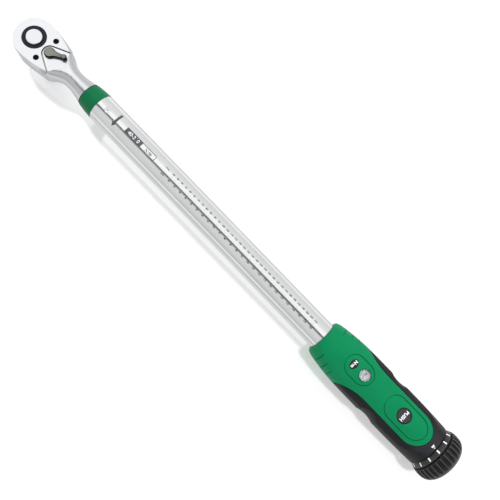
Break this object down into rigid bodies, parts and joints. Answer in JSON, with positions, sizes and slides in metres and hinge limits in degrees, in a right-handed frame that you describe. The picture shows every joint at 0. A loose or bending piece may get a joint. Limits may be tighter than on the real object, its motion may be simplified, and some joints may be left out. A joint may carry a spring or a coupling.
{
  "type": "torque wrench",
  "caption": "Click torque wrench with a reversible ratchet head, square drive with quick release, tubular body, oval grip with window and lock button, and a fluted setting knob.",
  "frame": {"origin": "on the drive axis, in the plane of the shoulder that a socket stops against", "axes": "+X from the drive axis to the setting knob, +Z from the square drive to the release button, +Y to the left of the tool seen from the knob"},
  "size_m": [0.5246, 0.045, 0.0569],
  "materials": {
    "satin_chrome": "satin chrome over a fine shot-blasted surface",
    "bright_chrome": "polished chrome",
    "dark_steel": "dark phosphated steel",
    "black_oxide": "black oxide",
    "bright_steel": "ground steel",
    "spring_steel": "oiled spring steel",
    "green_plastic": "green soft-touch plastic",
    "green_collar": "green moulded plastic",
    "black_rubber": "black textured rubber",
    "knob_plastic": "black moulded plastic",
    "button_plastic": "dark grey plastic",
    "badge_plastic": "gloss black plastic",
    "scale_white": "white printed plastic",
    "lens": "clear acrylic",
    "seal_rubber": "black nitrile rubber",
    "brass": "brass"
  },
  "bodies": {
    "frame": {"housing_tube": "satin_chrome", "front_collar": "green_collar", "pivot_pin": "bright_steel", "main_spring": "spring_steel", "thrust_race_rear": "bright_steel", "thrust_balls": "bright_steel", "thrust_cage": "brass", "end_plug": "bright_steel", "plug_pins": "bright_steel", "grip_body": "black_rubber", "grip_cover": "green_plastic", "window_bezel": "green_collar", "window_lens": "lens", "unit_badge": "badge_plastic", "button_guide": "badge_plastic", "lock_spring": "spring_steel"},
    "head": {"ratchet_head": "satin_chrome", "cover_plate": "satin_chrome", "cover_screws": "black_oxide", "gear_seal": "seal_rubber"},
    "drive": {"drive_gear": "dark_steel", "button_retainer": "black_oxide", "button_spring": "spring_steel"},
    "button": {"release_button": "bright_chrome", "release_pin": "bright_steel"},
    "ball": {"detent_ball": "bright_steel"},
    "lever": {"reverse_lever": "bright_chrome", "lever_circlip": "black_oxide", "toggle_ball": "bright_steel", "toggle_spring": "spring_steel"},
    "pawl": {"pawl": "dark_steel"},
    "plunger": {"plunger": "bright_steel", "front_spring_cup": "bright_steel"},
    "click_block": {"click_block": "bright_steel"},
    "nut": {"adjusting_nut": "brass", "rear_spring_cup": "bright_steel", "scale_carriage": "scale_white"},
    "knob": {"adjusting_screw": "bright_steel", "lock_wheel": "bright_steel", "thrust_race_front": "bright_steel", "screw_circlip": "black_oxide", "tick_ring": "knob_plastic", "knob": "knob_plastic", "knob_screw": "black_oxide", "knob_cap": "knob_plastic"},
    "lock": {"lock_button": "button_plastic", "lock_yoke": "bright_steel"}
  },
  "joints": [
    {"name": "head_pivot", "type": "hinge", "parent": "frame", "child": "head", "pos_m": [0.0948, 0, 0.0194], "axis": [0, 0, 1], "range_deg": [0, 2.5], "stiffness_Nm_per_rad": 60, "springref_deg": -2.86},
    {"name": "plunger_slide", "type": "slide", "parent": "frame", "child": "plunger", "axis": [1, 0, 0], "range_m": [0, 0.0006]},
    {"name": "click_tilt", "type": "hinge", "parent": "plunger", "child": "click_block", "pos_m": [0.14565, 0, 0.0194], "axis": [0, 0, -1], "range_deg": [0, 10]},
    {"name": "drive_spin", "type": "hinge", "parent": "head", "child": "drive", "pos_m": [0, 0, 0], "axis": [0, 0, 1], "continuous": true},
    {"name": "release_push", "type": "slide", "parent": "drive", "child": "button", "axis": [0, 0, -1], "range_m": [0, 0.0025], "stiffness_N_per_m": 900, "springref_m": -0.001, "deforming": ["button_spring"]},
    {"name": "ball_retract", "type": "slide", "parent": "drive", "child": "ball", "axis": [-1, 0, 0], "range_m": [0, 0.0011]},
    {"name": "lever_flip", "type": "hinge", "parent": "head", "child": "lever", "pos_m": [0.02, 0, 0], "axis": [0, 0, 1], "range_deg": [-53.2, 0]},
    {"name": "pawl_rock", "type": "hinge", "parent": "head", "child": "pawl", "pos_m": [0.02, 0, 0], "axis": [0, 0, 1], "range_deg": [-10, 0]},
    {"name": "knob_turn", "type": "hinge", "parent": "frame", "child": "knob", "pos_m": [0.45, 0, 0.0194], "axis": [1, 0, 0], "range_deg": [0, 4707]},
    {"name": "nut_travel", "type": "slide", "parent": "frame", "child": "nut", "axis": [-1, 0, 0], "range_m": [0, 0.02615], "deforming": ["main_spring"]},
    {"name": "lock_push", "type": "slide", "parent": "frame", "child": "lock", "axis": [0, 0, -1], "range_m": [0, 0.002], "stiffness_N_per_m": 900, "springref_m": -0.001, "deforming": ["lock_spring"]}
  ],
  "couplings": [
    {"joint": "plunger_slide", "follows": "head_pivot", "m_per_rad": 0.011459},
    {"joint": "click_tilt", "follows": "head_pivot", "ratio": 3.6},
    {"joint": "ball_retract", "follows": "release_push", "ratio": 0.44},
    {"joint": "pawl_rock", "follows": "lever_flip", "ratio": 0.18796},
    {"joint": "nut_travel", "follows": "knob_turn", "m_per_rad": 0.00031831}
  ]
}
